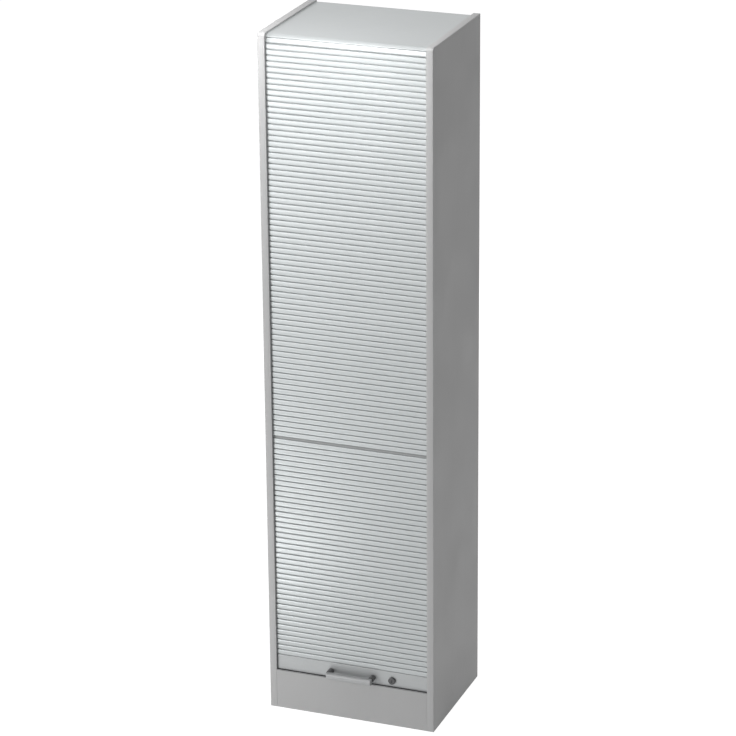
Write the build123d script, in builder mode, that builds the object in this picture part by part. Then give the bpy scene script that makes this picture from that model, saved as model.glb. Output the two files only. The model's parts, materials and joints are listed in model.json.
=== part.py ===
import os
from math import atan2, cos, hypot, pi, radians, sin

from build123d import *

# A tall tambour door cabinet. X runs across, Y from the front to the back and Z up from the floor.
# "Inset" is the distance behind the front edges of the side panels. All sizes are in millimetres.

# Carcass
width = 470
depth = 360
height = 1885
board = 19
edge_band = 2
panel_corner_radius = 12
panel_rise = 5
plinth_height = 110
seal_thickness = 2
seal_margin = 0.5
bottom_board_underside = 93
back_thickness = 5
back_margin = 4
back_groove_depth = 8
false_back_thickness = 8
false_back_groove_depth = 4
false_back_gap = 3.8
false_back_rise = 6
top_board_setback = 4

# Curtain
slat_pitch = 15
slat_thickness = 5
slat_recess = 7.5
slat_gap = 0.3
slat_vee = 1.0
slat_crown = 0.15
slat_crown_start = 3.75
slat_engagement = 7
lower_slat_count = 42
over_top_slat_count = 8
strip_height = 6
strip_recess = 2
backing_thickness = 0.6
backing_margin = 4
nose_radius = 22.5

# Tracks and top cover
track_wall = 0.8
track_clearance = 0.2
track_width = 7.2
track_depth = 7.7
rear_track_bottom = 380
cover_thickness = 1.2
cover_gap = 0.3
cover_engagement = 4
cover_lip_angle = 42

# Shelves
shelf_count = 4
shelf_front_inset = 36
shelf_clearance = 0.8
shelf_back_clearance = 0.5
pin_radius = 2.5
pin_depth = 8
pin_reach = 8
pin_column_margin = 38
pin_hole_step = 32
pin_hole_clearance = 0.1

# Small round features that stay hidden have this many sides
small_sides = 8
fitting_sides = 16

# End rail, glides and handle
rail_height = 43
rail_depth = 22.5
rail_wall = 2.2
rail_lip = 5
rail_edge_bevel = 0.8
rail_end_gap = 1.5
glide_cap = 1
glide_plug = 15
glide_slack = 0.35
glide_tongue_margin = 2
handle_proud = 24
grip_length = 127
grip_height = 17
grip_depth = 15
grip_centre_z = 126
grip_front_fillet = 6
grip_back_fillet = 2.5
grip_end_bevel = 1
handle_spacing = 120
handle_foot_radius = 8
handle_foot_z = 130
handle_screw_radius = 2
handle_screw_head_radius = 4
handle_screw_head = 2.5
handle_screw_gap = 3

# Lock
lock_x = 115
lock_z = 130
lock_rosette_radius = 10
lock_rosette_proud = 6
lock_barrel_radius = 8
lock_barrel_length = 14
lock_plug_radius = 5
lock_plug_recess = 0.5
lock_running_gap = 0.05
lock_fit_gap = 0.1
lock_nut_radius = 11
lock_nut_thickness = 3
key_slot_width = 1.6
key_slot_height = 7
key_slot_depth = 8
hook_inner_radius = 20.5
hook_outer_radius = 24.5
hook_hub_radius = 9
hook_hub_overlap = 1
hook_thickness = 3
hook_gap = 1
hook_tip_angle = -15
hook_root_angle = 38
hook_arm_angle = 52
hook_slot_clearance = 0.7
hook_screw_radius = 3.5
hook_screw_head = 2
strike_thickness = 1.6
strike_width = 12
strike_ends = 6
strike_pocket_depth = 7.5

# Fittings and levelling feet
cam_radius = 7.5
cam_thickness = 12.5
cam_slot_length = 12
cam_slot_width = 2
cam_slot_depth = 3
cam_edge_distance = 34
foot_side_margin = 45
foot_front_inset = 60
foot_back_margin = 60
foot_pad_radius = 18
foot_pad_thickness = 6
foot_pad_bevel = 1
foot_stem_radius = 5
foot_stem_length = 79
foot_key_radius = 2.5
foot_key_depth = 6
sleeve_radius = 9
sleeve_flange_width = 40
sleeve_flange = 3
sleeve_length = 48
sleeve_running_gap = 0.05
cap_hole_radius = 6
cap_radius = 9
cap_thickness = 1
cap_spigot = 6
cap_spigot_gap = 0.2

# Places that follow from the sizes above
front = (handle_proud - depth) / 2
back = front + depth
inner = width / 2 - board
rail_bottom = plinth_height + seal_thickness
rail_top = rail_bottom + rail_height
floor_top = bottom_board_underside + board
strip_bottom = rail_top + lower_slat_count * slat_pitch
strip_top = strip_bottom + strip_height
slat_back = slat_recess + slat_thickness
nose_inset = slat_recess + nose_radius
inner_radius = nose_radius - slat_thickness
cover_inner_radius = nose_radius + cover_gap
cover_outer_radius = cover_inner_radius + cover_thickness
cover_top = height - panel_rise
nose_z = cover_top - cover_outer_radius
upper_slat_count = int((nose_z - strip_top) / slat_pitch + 0.001)
back_inset = depth - back_margin - back_thickness
cover_back_inset = back_inset + back_thickness
back_panel_top = cover_top - cover_thickness
rear_track_inset = back_inset - false_back_gap - track_width / 2 - cover_gap
track_radius = cover_inner_radius - track_width / 2
rear_turn_inset = rear_track_inset - track_radius
track_face = slat_recess - track_clearance
groove_front = track_face - track_wall
groove_width = track_width + 2 * track_wall
groove_depth = track_depth + track_wall
false_back_inset = rear_track_inset - track_width / 2 - false_back_gap - false_back_thickness
top_board_top = nose_z + inner_radius - backing_thickness - false_back_gap
top_board_underside = top_board_top - board
top_board_front_inset = nose_inset - top_board_setback
false_back_top = nose_z + false_back_rise
slat_half_length = inner + slat_engagement
clear_height = (top_board_underside - floor_top - shelf_count * board) / (shelf_count + 1)
shelf_undersides = [floor_top + clear_height + i * (clear_height + board) for i in range(shelf_count)]
shelf_back_inset = false_back_inset - shelf_back_clearance
pin_insets = (shelf_front_inset + pin_column_margin, shelf_back_inset - pin_column_margin)
rail_half_length = inner - rail_end_gap
rail_back_inset = slat_recess + rail_depth
web_back_inset = slat_recess + rail_wall
rail_hollow_depth = rail_depth - 2 * rail_wall
rail_hollow_height = rail_height - 2 * rail_wall
hook_front_inset = slat_recess + lock_barrel_length + hook_gap
hook_back_inset = hook_front_inset + hook_thickness
handle_foot_front_inset = grip_depth - handle_proud
foot_x = inner - foot_side_margin
foot_insets = (foot_front_inset, shelf_back_inset - foot_back_margin)
sleeve_bottom = bottom_board_underside - sleeve_length
start_corner = (Align.MIN, Align.MIN)

os.makedirs("parts", exist_ok=True)


def write(piece, name):
    piece.part.label = name
    export_step(piece.part, f"parts/{name}.step")


def side_plane(x):
    # Upright plane across the width, with its own x along the depth and its own y upwards.
    return Plane.YZ.offset(x)


def front_plane(inset):
    # Upright plane across the depth, with its own x along the width; it faces the back.
    return Plane(origin=(0, front + inset, 0), x_dir=(-1, 0, 0), z_dir=(0, 1, 0))


def panel_outline(plane, margin):
    # Side view of a panel, set in by the margin at its front and top edges.
    with BuildSketch(plane) as outline:
        with Locations((front + margin, 0)):
            Rectangle(depth - margin, height - margin, align=start_corner)
        corner = outline.vertices().group_by(Axis.X)[0].sort_by(Axis.Y)[-1]
        fillet(corner, panel_corner_radius - margin)
    return outline


def track_outline(plane):
    # Groove that guides the slats: up the front, round the nose, back and down behind the false back.
    nose_centre = (front + nose_inset, nose_z)
    rear_centre = (front + rear_turn_inset, nose_z)
    track_top = nose_z + track_radius
    with BuildSketch(plane) as outline:
        with Locations((front + groove_front, rail_bottom)):
            Rectangle(groove_width, nose_z - rail_bottom, align=start_corner)
        with BuildLine():
            CenterArc(nose_centre, track_radius, 180, -90)
            Line((nose_centre[0], track_top), (rear_centre[0], track_top))
            CenterArc(rear_centre, track_radius, 90, -90)
            Line((front + rear_track_inset, nose_z), (front + rear_track_inset, rear_track_bottom))
        trace(line_width=track_width)
    return outline


def cover_outline(plane):
    # Formed sheet over the top, from the lip on the nose to the back edge.
    middle_radius = cover_inner_radius + cover_thickness / 2
    nose_centre = (front + nose_inset, nose_z)
    middle_z = nose_z + middle_radius
    with BuildSketch(plane) as outline:
        with BuildLine():
            CenterArc(nose_centre, middle_radius, 180 - cover_lip_angle, cover_lip_angle - 90)
            Line((nose_centre[0], middle_z), (front + cover_back_inset, middle_z))
        trace(line_width=cover_thickness)
    return outline


def side_panel(hand):
    plane = side_plane(hand * inner)
    with BuildPart() as panel:
        extrude(panel_outline(plane, edge_band).sketch, amount=hand * board)
        extrude(track_outline(plane).sketch, amount=hand * groove_depth, mode=Mode.SUBTRACT)
        extrude(cover_outline(plane).sketch, amount=hand * cover_engagement, mode=Mode.SUBTRACT)
        with BuildSketch(plane) as back_groove:
            with Locations((front + back_inset, bottom_board_underside)):
                Rectangle(back_thickness, back_panel_top - bottom_board_underside, align=start_corner)
        extrude(back_groove.sketch, amount=hand * back_groove_depth, mode=Mode.SUBTRACT)
        with BuildSketch(plane) as false_back_groove:
            with Locations((front + false_back_inset, floor_top)):
                Rectangle(false_back_thickness, false_back_top - floor_top, align=start_corner)
        extrude(false_back_groove.sketch, amount=hand * false_back_groove_depth, mode=Mode.SUBTRACT)
        with BuildSketch(plane) as pin_holes:
            for inset in pin_insets:
                for underside in shelf_undersides:
                    with Locations((front + inset, underside - pin_radius)):
                        with GridLocations(0, pin_hole_step, 1, 3):
                            RegularPolygon(pin_radius + pin_hole_clearance, small_sides)
        extrude(pin_holes.sketch, amount=hand * pin_depth, mode=Mode.SUBTRACT)
    return panel


def panel_edge_band(hand):
    plane = side_plane(hand * inner)
    with BuildPart() as band:
        extrude(panel_outline(plane, 0).sketch, amount=hand * board)
        extrude(panel_outline(plane, edge_band).sketch, amount=hand * board, mode=Mode.SUBTRACT)
    return band


def track_liner(hand):
    # Plastic channel in the front groove, open towards the curtain.
    with BuildPart() as liner:
        with BuildSketch(Plane.XY.offset(rail_bottom)):
            with Locations((hand * (inner + groove_depth / 2), front + groove_front + groove_width / 2)):
                Rectangle(groove_depth, groove_width)
            with Locations((hand * (inner + track_depth / 2), front + track_face + track_width / 2)):
                Rectangle(track_depth, track_width, mode=Mode.SUBTRACT)
        extrude(amount=nose_z - rail_bottom)
    return liner


for side, hand in (("left", -1), ("right", 1)):
    write(side_panel(hand), f"side_panel_{side}")
    write(panel_edge_band(hand), f"edge_band_{side}")
    write(track_liner(hand), f"track_{side}")


def board_between(half_width, front_inset, back_inset_of_board, underside, top):
    # Plain board across the carcass.
    with BuildPart() as piece:
        with BuildSketch(Plane.XY.offset(underside)):
            with Locations((0, front + (front_inset + back_inset_of_board) / 2)):
                Rectangle(2 * half_width, back_inset_of_board - front_inset)
        extrude(amount=top - underside)
    return piece


plinth_panel = board_between(inner, 0, board, 0, plinth_height)
write(plinth_panel, "plinth_panel")

sill_seal = board_between(inner, seal_margin, board - seal_margin, plinth_height, rail_bottom)
write(sill_seal, "sill_seal")

rear_rail = board_between(inner, back_inset - board, back_inset, 0, bottom_board_underside)
write(rear_rail, "rear_rail")

back_panel = board_between(
    inner + back_groove_depth, back_inset, cover_back_inset, bottom_board_underside, back_panel_top
)
write(back_panel, "back_panel")

false_back = board_between(
    inner + false_back_groove_depth,
    false_back_inset,
    false_back_inset + false_back_thickness,
    floor_top,
    false_back_top,
)
write(false_back, "false_back")

# Shelves rest on pins in the side panels, four to a shelf.
for i, underside in enumerate(shelf_undersides):
    shelf = board_between(
        inner - shelf_clearance, shelf_front_inset, shelf_back_inset, underside, underside + board
    )
    write(shelf, f"shelf_{i + 1}")

with BuildPart() as shelf_pins:
    for hand in (-1, 1):
        for inset in pin_insets:
            for underside in shelf_undersides:
                pin_plane = Plane(
                    origin=(hand * (inner + pin_depth), front + inset, underside - pin_radius),
                    z_dir=(-hand, 0, 0),
                )
                with BuildSketch(pin_plane):
                    RegularPolygon(pin_radius, small_sides)
                extrude(amount=pin_depth + pin_reach)
write(shelf_pins, "shelf_pins")

# Eccentric fittings let into the undersides of the bottom and top boards, near their ends.
cam_x = inner - cam_edge_distance
cam_y_front = front + pin_insets[0]
cam_y_back = front + pin_insets[1]
cam_places = [(x, y) for x in (-cam_x, cam_x) for y in (cam_y_front, cam_y_back)]
foot_places = [(x, front + inset) for x in (-foot_x, foot_x) for inset in foot_insets]

strike_x_low = lock_x - hook_outer_radius * sin(radians(-hook_tip_angle)) - strike_ends
strike_x_high = lock_x + hook_outer_radius
strike_x = (strike_x_low + strike_x_high) / 2
strike_length = strike_x_high - strike_x_low
hook_y = front + (hook_front_inset + hook_back_inset) / 2
hook_slot_width = hook_thickness + 2 * hook_slot_clearance


def swing_width(radius, drop):
    # How far to the side of the lock's axis the circle is, at a drop below that axis.
    return (radius ** 2 - drop ** 2) ** 0.5


def hook_slot(top_z, bottom_z):
    # Centre and length of the slot through which the hook swings, between two levels under the lock.
    low = swing_width(hook_inner_radius, min(lock_z - bottom_z, hook_inner_radius)) - hook_slot_clearance
    high = swing_width(hook_outer_radius, lock_z - top_z) + hook_slot_clearance
    return lock_x + (low + high) / 2, high - low


with BuildPart() as bottom_board:
    with BuildSketch(Plane.XY.offset(bottom_board_underside)):
        with Locations((0, front + (board + back_inset) / 2)):
            Rectangle(2 * inner, back_inset - board)
        with Locations(*foot_places):
            RegularPolygon(cap_hole_radius, fitting_sides, mode=Mode.SUBTRACT)
    extrude(amount=board)
    with BuildSketch(Plane.XY.offset(floor_top)):
        with Locations((strike_x, front + board + strike_width / 2)):
            Rectangle(strike_length, strike_width)
    extrude(amount=-strike_thickness, mode=Mode.SUBTRACT)
    with BuildSketch(Plane.XY.offset(floor_top)):
        with Locations((strike_x, hook_y)):
            Rectangle(strike_length - strike_ends, hook_slot_width)
    extrude(amount=-strike_pocket_depth, mode=Mode.SUBTRACT)
    with BuildSketch(Plane.XY.offset(bottom_board_underside)):
        with Locations(*cam_places):
            RegularPolygon(cam_radius, fitting_sides)
    extrude(amount=cam_thickness, mode=Mode.SUBTRACT)
write(bottom_board, "bottom_board")

with BuildPart() as strike_plate:
    slot_x, slot_length = hook_slot(floor_top, floor_top - strike_thickness)
    with BuildSketch(Plane.XY.offset(floor_top - strike_thickness)):
        with Locations((strike_x, front + board + strike_width / 2)):
            Rectangle(strike_length, strike_width)
        with Locations((slot_x, hook_y)):
            Rectangle(slot_length, hook_slot_width, mode=Mode.SUBTRACT)
    extrude(amount=strike_thickness)
write(strike_plate, "strike_plate")

with BuildPart() as top_board:
    with BuildSketch(Plane.XY.offset(top_board_underside)):
        with Locations((0, front + (top_board_front_inset + false_back_inset) / 2)):
            Rectangle(2 * inner, false_back_inset - top_board_front_inset)
    extrude(amount=board)
    with BuildSketch(Plane.XY.offset(top_board_underside)):
        with Locations(*cam_places):
            RegularPolygon(cam_radius, fitting_sides)
    extrude(amount=cam_thickness, mode=Mode.SUBTRACT)
write(top_board, "top_board")

with BuildPart() as cam_fittings:
    for underside in (bottom_board_underside, top_board_underside):
        with BuildSketch(Plane.XY.offset(underside)):
            with Locations(*cam_places):
                RegularPolygon(cam_radius, fitting_sides)
        extrude(amount=cam_thickness)
        with BuildSketch(Plane.XY.offset(underside)):
            with Locations(*cam_places):
                Rectangle(cam_slot_length, cam_slot_width)
                Rectangle(cam_slot_width, cam_slot_length)
        extrude(amount=cam_slot_depth, mode=Mode.SUBTRACT)
write(cam_fittings, "cam_fittings")

with BuildPart() as top_cover:
    cover_half_width = inner + cover_engagement
    extrude(cover_outline(side_plane(-cover_half_width)).sketch, amount=2 * cover_half_width)
write(top_cover, "top_cover")


# The curtain's path follows the inner faces of its slats, from the top of the end rail.
straight_run = nose_z - rail_top
turn_run = inner_radius * pi / 2


def curtain_point(run, inward=0.0):
    # Inset and height of the path after a run along it, moved inwards from the slats by a distance.
    radius = inner_radius - inward
    if run <= straight_run:
        return nose_inset - radius, rail_top + run
    if run <= straight_run + turn_run:
        angle = (run - straight_run) / inner_radius
        return nose_inset - radius * cos(angle), nose_z + radius * sin(angle)
    return nose_inset + run - straight_run - turn_run, nose_z + radius


def next_joint(run):
    # Run at which the chord from the given run is one slat pitch long.
    start = curtain_point(run)
    low, high = run + slat_pitch, run + 1.3 * slat_pitch
    for _ in range(40):
        middle = (low + high) / 2
        inset, z = curtain_point(middle)
        if hypot(inset - start[0], z - start[1]) < slat_pitch:
            low = middle
        else:
            high = middle
    return high


def slat_outline(first, second):
    # Section of a slat between two joints of the path: flat behind, slightly crowned and bevelled in front.
    angle = atan2(second[1] - first[1], second[0] - first[0])
    half_gap = slat_gap / 2
    shoulder = half_gap + slat_vee
    profile = [
        (half_gap, 0),
        (slat_pitch - half_gap, 0),
        (slat_pitch - half_gap, slat_thickness - slat_vee),
        (slat_pitch - shoulder, slat_thickness - slat_crown),
        (slat_pitch - slat_crown_start, slat_thickness),
        (slat_crown_start, slat_thickness),
        (shoulder, slat_thickness - slat_crown),
        (half_gap, slat_thickness - slat_vee),
    ]
    return [
        (
            front + first[0] + along * cos(angle) - out * sin(angle),
            first[1] + along * sin(angle) + out * cos(angle),
        )
        for along, out in profile
    ]


def straight_slats(first_z, count):
    # Slats of the front run, one above the other.
    with BuildPart() as slat:
        with BuildSketch(side_plane(-slat_half_length)):
            with BuildLine():
                Polyline(slat_outline((slat_back, first_z), (slat_back, first_z + slat_pitch)), close=True)
            make_face()
        extrude(amount=2 * slat_half_length)
    with BuildPart() as slats:
        with Locations(*[(0, 0, i * slat_pitch) for i in range(count)]):
            add(slat.part)
    return slats


write(straight_slats(rail_top, lower_slat_count), "lower_slats")
write(straight_slats(strip_top, upper_slat_count), "upper_slats")

strip_inset = slat_recess + strip_recess
joining_strip = board_between(slat_half_length, strip_inset, slat_back, strip_bottom, strip_top)
write(joining_strip, "joining_strip")

joint_runs = [strip_top - rail_top + upper_slat_count * slat_pitch]
for _ in range(over_top_slat_count):
    joint_runs.append(next_joint(joint_runs[-1]))
joints_over_top = [curtain_point(run) for run in joint_runs]

with BuildPart() as over_top_slats:
    for first, second in zip(joints_over_top, joints_over_top[1:]):
        with BuildSketch(side_plane(-slat_half_length)):
            with BuildLine():
                Polyline(slat_outline(first, second), close=True)
            make_face()
        extrude(amount=2 * slat_half_length)
write(over_top_slats, "over_top_slats")

# Textile glued to the backs of the slats, which holds the curtain together.
backing_half_width = inner - backing_margin
curtain_backing = board_between(
    backing_half_width, slat_back, slat_back + backing_thickness, rail_top, joints_over_top[0][1]
)
write(curtain_backing, "curtain_backing")

with BuildPart() as backing_over_top:
    inner_points = [curtain_point(run, backing_thickness) for run in joint_runs]
    outline_points = [(front + inset, z) for inset, z in joints_over_top + inner_points[::-1]]
    with BuildSketch(side_plane(-backing_half_width)):
        with BuildLine():
            Polyline(outline_points, close=True)
        make_face()
    extrude(amount=2 * backing_half_width)
write(backing_over_top, "backing_over_top")

# End rail of the curtain: a channel open at the back, with lips.
with BuildPart() as end_rail:
    with BuildSketch(side_plane(-rail_half_length)) as section:
        with Locations((front + slat_recess, rail_bottom)):
            Rectangle(rail_depth, rail_height, align=start_corner)
        chamfer(section.vertices().group_by(Axis.X)[0], rail_edge_bevel)
        with Locations((front + web_back_inset, rail_bottom + rail_wall)):
            Rectangle(rail_hollow_depth, rail_hollow_height, align=start_corner, mode=Mode.SUBTRACT)
        with Locations((front + rail_back_inset - rail_wall, rail_bottom + rail_lip)):
            Rectangle(rail_wall, rail_height - 2 * rail_lip, align=start_corner, mode=Mode.SUBTRACT)
    extrude(amount=2 * rail_half_length)
    with BuildSketch(front_plane(slat_recess)):
        with Locations((-lock_x, lock_z)):
            RegularPolygon(lock_barrel_radius + lock_fit_gap, fitting_sides)
        with Locations((-handle_spacing / 2, handle_foot_z), (handle_spacing / 2, handle_foot_z)):
            RegularPolygon(handle_screw_radius + lock_fit_gap, small_sides)
    extrude(amount=rail_wall, mode=Mode.SUBTRACT)
    slot_x, slot_length = hook_slot(rail_bottom + rail_wall, rail_bottom)
    with BuildSketch(Plane.XY.offset(rail_bottom)):
        with Locations((slot_x, hook_y)):
            Rectangle(slot_length, hook_slot_width)
    extrude(amount=rail_wall, mode=Mode.SUBTRACT)
write(end_rail, "end_rail")


def rail_glide(hand):
    # Plastic end piece: a plug in the rail, a cap over its end and a tongue in the track.
    cap_start = rail_half_length
    cap_end = cap_start + glide_cap
    tongue_end = inner + slat_engagement
    with BuildPart() as glide:
        with BuildSketch(side_plane(hand * (cap_start - glide_plug))):
            with Locations((front + web_back_inset, rail_bottom + rail_wall)):
                Rectangle(rail_hollow_depth, rail_hollow_height, align=start_corner)
        extrude(amount=hand * glide_plug)
        with BuildSketch(side_plane(hand * cap_start)):
            with Locations((front + slat_recess, rail_bottom)):
                Rectangle(rail_depth, rail_height, align=start_corner)
        extrude(amount=hand * glide_cap)
        with BuildSketch(side_plane(hand * cap_end)):
            with Locations((front + track_face + glide_slack, rail_bottom + glide_tongue_margin)):
                tongue_thickness = track_width - 2 * glide_slack
                Rectangle(tongue_thickness, rail_height - 2 * glide_tongue_margin, align=start_corner)
        extrude(amount=hand * (tongue_end - cap_end))
    return glide


def handle_foot(hand):
    # Stand-off between the rail and the grip, drilled for its screw.
    foot_length = slat_recess - handle_foot_front_inset
    with BuildPart() as foot:
        with BuildSketch(front_plane(handle_foot_front_inset)):
            with Locations((-hand * handle_spacing / 2, handle_foot_z)):
                Circle(handle_foot_radius)
        extrude(amount=foot_length)
        with BuildSketch(front_plane(slat_recess)):
            with Locations((-hand * handle_spacing / 2, handle_foot_z)):
                RegularPolygon(handle_screw_radius + lock_running_gap, small_sides)
        extrude(amount=handle_screw_gap - foot_length, mode=Mode.SUBTRACT)
    return foot


for side, hand in (("left", -1), ("right", 1)):
    write(rail_glide(hand), f"rail_glide_{side}")
    write(handle_foot(hand), f"handle_foot_{side}")

with BuildPart() as handle_grip:
    with BuildSketch(side_plane(-grip_length / 2)) as section:
        with Locations((front - handle_proud + grip_depth / 2, grip_centre_z)):
            Rectangle(grip_depth, grip_height)
        fillet(section.vertices().group_by(Axis.X)[0], grip_front_fillet)
        fillet(section.vertices().group_by(Axis.X)[-1], grip_back_fillet)
    extrude(amount=grip_length)
    ends = handle_grip.faces().filter_by(Axis.X)
    chamfer(ends.edges(), grip_end_bevel)
write(handle_grip, "handle_grip")

with BuildPart() as handle_screws:
    screw_places = [(-handle_spacing / 2, handle_foot_z), (handle_spacing / 2, handle_foot_z)]
    with BuildSketch(front_plane(web_back_inset)):
        with Locations(*screw_places):
            RegularPolygon(handle_screw_head_radius, fitting_sides)
    extrude(amount=handle_screw_head)
    with BuildSketch(front_plane(web_back_inset)):
        with Locations(*screw_places):
            RegularPolygon(handle_screw_radius, small_sides)
    extrude(amount=handle_foot_front_inset + handle_screw_gap - web_back_inset)
write(handle_screws, "handle_screws")

# Cylinder lock in the end rail. Its hook swings down through the rail and under the strike plate.
with BuildPart() as lock_housing:
    with BuildSketch(front_plane(slat_recess)):
        with Locations((-lock_x, lock_z)):
            Circle(lock_rosette_radius)
    extrude(amount=-lock_rosette_proud)
    rim = lock_housing.faces().sort_by(Axis.Y)[0].edges()
    chamfer(rim, rail_edge_bevel)
    with BuildSketch(front_plane(slat_recess)):
        with Locations((-lock_x, lock_z)):
            RegularPolygon(lock_barrel_radius, fitting_sides)
    extrude(amount=lock_barrel_length)
    with BuildSketch(front_plane(slat_recess - lock_rosette_proud)):
        with Locations((-lock_x, lock_z)):
            Circle(lock_plug_radius + lock_running_gap)
    extrude(amount=lock_rosette_proud + lock_barrel_length, mode=Mode.SUBTRACT)
write(lock_housing, "lock_housing")

with BuildPart() as lock_nut:
    with BuildSketch(front_plane(web_back_inset)):
        with Locations((-lock_x, lock_z)):
            RegularPolygon(lock_nut_radius, 6)
            RegularPolygon(lock_barrel_radius + lock_fit_gap, fitting_sides, mode=Mode.SUBTRACT)
    extrude(amount=lock_nut_thickness)
write(lock_nut, "lock_nut")

lock_plug_front = slat_recess - lock_rosette_proud + lock_plug_recess
with BuildPart() as lock_core:
    with BuildSketch(front_plane(lock_plug_front)):
        with Locations((-lock_x, lock_z)):
            Circle(lock_plug_radius)
    extrude(amount=hook_front_inset - lock_plug_front)
    with BuildSketch(front_plane(lock_plug_front)):
        with Locations((-lock_x, lock_z)):
            Rectangle(key_slot_width, key_slot_height)
    extrude(amount=key_slot_depth, mode=Mode.SUBTRACT)
write(lock_core, "lock_core")


def lock_point(radius, angle):
    # Point around the lock's axis on a plane that faces the back; the angle is up from the right-hand side.
    return -lock_x - radius * cos(radians(angle)), lock_z + radius * sin(radians(angle))


with BuildPart() as lock_hook:
    with BuildSketch(front_plane(hook_front_inset)):
        with BuildLine():
            tip_inner = lock_point(hook_inner_radius, hook_tip_angle)
            tip_outer = lock_point(hook_outer_radius, hook_tip_angle)
            arm_outer = lock_point(hook_outer_radius, hook_arm_angle)
            arm_hub_top = lock_point(hook_hub_radius - hook_hub_overlap, hook_arm_angle)
            arm_hub_low = lock_point(hook_hub_radius - hook_hub_overlap, hook_root_angle)
            root_inner = lock_point(hook_inner_radius, hook_root_angle)
            middle_angle = (hook_tip_angle + hook_arm_angle) / 2
            ThreePointArc(tip_outer, lock_point(hook_outer_radius, middle_angle), arm_outer)
            Polyline(arm_outer, arm_hub_top, arm_hub_low, root_inner)
            middle_angle = (hook_tip_angle + hook_root_angle) / 2
            ThreePointArc(root_inner, lock_point(hook_inner_radius, middle_angle), tip_inner)
            Line(tip_inner, tip_outer)
        make_face()
        with Locations((-lock_x, lock_z)):
            Circle(hook_hub_radius)
    extrude(amount=hook_thickness)
write(lock_hook, "lock_hook")

with BuildPart() as hook_screw:
    with BuildSketch(front_plane(hook_back_inset)):
        with Locations((-lock_x, lock_z)):
            RegularPolygon(hook_screw_radius, fitting_sides)
    extrude(amount=hook_screw_head)
write(hook_screw, "hook_screw")

# Levelling feet: each stem runs in a sleeve under the bottom board, below a capped key hole.
with BuildPart() as foot_sleeves:
    with BuildSketch(Plane.XY.offset(bottom_board_underside)):
        with Locations(*foot_places):
            Rectangle(sleeve_flange_width, sleeve_flange_width)
    extrude(amount=-sleeve_flange)
    with BuildSketch(Plane.XY.offset(bottom_board_underside)):
        with Locations(*foot_places):
            RegularPolygon(sleeve_radius, fitting_sides)
    extrude(amount=-sleeve_length)
    with BuildSketch(Plane.XY.offset(bottom_board_underside)):
        with Locations(*foot_places):
            RegularPolygon(foot_stem_radius + sleeve_running_gap, fitting_sides)
    extrude(amount=-sleeve_length, mode=Mode.SUBTRACT)
write(foot_sleeves, "foot_sleeves")

with BuildPart() as foot_caps:
    with BuildSketch(Plane.XY.offset(floor_top)):
        with Locations(*foot_places):
            RegularPolygon(cap_radius, fitting_sides)
    extrude(amount=cap_thickness)
    with BuildSketch(Plane.XY.offset(floor_top)):
        with Locations(*foot_places):
            RegularPolygon(cap_hole_radius - cap_spigot_gap, fitting_sides)
    extrude(amount=-cap_spigot)
write(foot_caps, "foot_caps")

for i, (x, y) in enumerate(foot_places):
    with BuildPart() as foot:
        with BuildSketch():
            with Locations((x, y)):
                RegularPolygon(foot_pad_radius, 2 * fitting_sides)
        extrude(amount=foot_pad_thickness)
        chamfer(foot.faces().sort_by(Axis.Z)[-1].edges(), foot_pad_bevel)
        with BuildSketch(Plane.XY.offset(foot_pad_thickness)):
            with Locations((x, y)):
                RegularPolygon(foot_stem_radius, fitting_sides)
        extrude(amount=foot_stem_length)
        with BuildSketch(Plane.XY.offset(foot_pad_thickness + foot_stem_length)):
            with Locations((x, y)):
                RegularPolygon(foot_key_radius, 6)
        extrude(amount=-foot_key_depth, mode=Mode.SUBTRACT)
    write(foot, f"foot_{i + 1}")
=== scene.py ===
import json
from math import cos, hypot, pi, radians, sin

import bmesh
import bpy
from mathutils import Matrix, Vector


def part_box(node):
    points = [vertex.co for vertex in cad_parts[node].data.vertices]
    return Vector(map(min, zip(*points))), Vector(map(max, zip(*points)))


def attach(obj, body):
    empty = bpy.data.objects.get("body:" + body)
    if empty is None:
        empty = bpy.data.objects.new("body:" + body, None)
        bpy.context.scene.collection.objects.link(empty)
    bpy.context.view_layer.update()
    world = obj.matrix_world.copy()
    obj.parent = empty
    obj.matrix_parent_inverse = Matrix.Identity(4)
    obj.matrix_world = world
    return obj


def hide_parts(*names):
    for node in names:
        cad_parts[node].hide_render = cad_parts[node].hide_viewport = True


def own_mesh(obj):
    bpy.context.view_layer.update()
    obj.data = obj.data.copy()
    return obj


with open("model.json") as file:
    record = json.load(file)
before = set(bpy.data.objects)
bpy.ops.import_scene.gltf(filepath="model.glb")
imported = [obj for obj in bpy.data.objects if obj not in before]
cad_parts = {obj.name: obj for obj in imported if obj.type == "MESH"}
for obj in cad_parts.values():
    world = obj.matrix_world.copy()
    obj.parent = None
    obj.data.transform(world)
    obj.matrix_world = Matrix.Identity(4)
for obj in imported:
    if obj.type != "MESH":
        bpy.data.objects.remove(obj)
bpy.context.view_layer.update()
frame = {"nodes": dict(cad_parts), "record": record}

# A tall tambour door cabinet: silver slats between two boards, over a plinth.
# Everything is in metres, in the frame of the CAD model.

scene = bpy.context.scene
nodes = frame["nodes"]
front = -0.168  # front edges of the side panels

# The view of the picture: from the right and above, through a long lens.
viewCamera = {
    "place": (2.8616, -7.4863, 3.9964),
    "azimuth": 20.9737,
    "elevation": 20.8022,
    "roll": -0.4941,
    "lens": 158.98,
    "reach": 200,
}

# A white studio: fill lights the object, seen is what the eye and gloss meet.
studio = {
    "fill": 0.30,
    "seen": 1.0,
    "floorSize": 60.0,
    "floorColour": (0.86, 0.86, 0.86, 1.0),
    "floorGlow": 0.7,
    "floorGlowStrength": 1.38,
    "floorGloss": 0.85,
}

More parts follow.
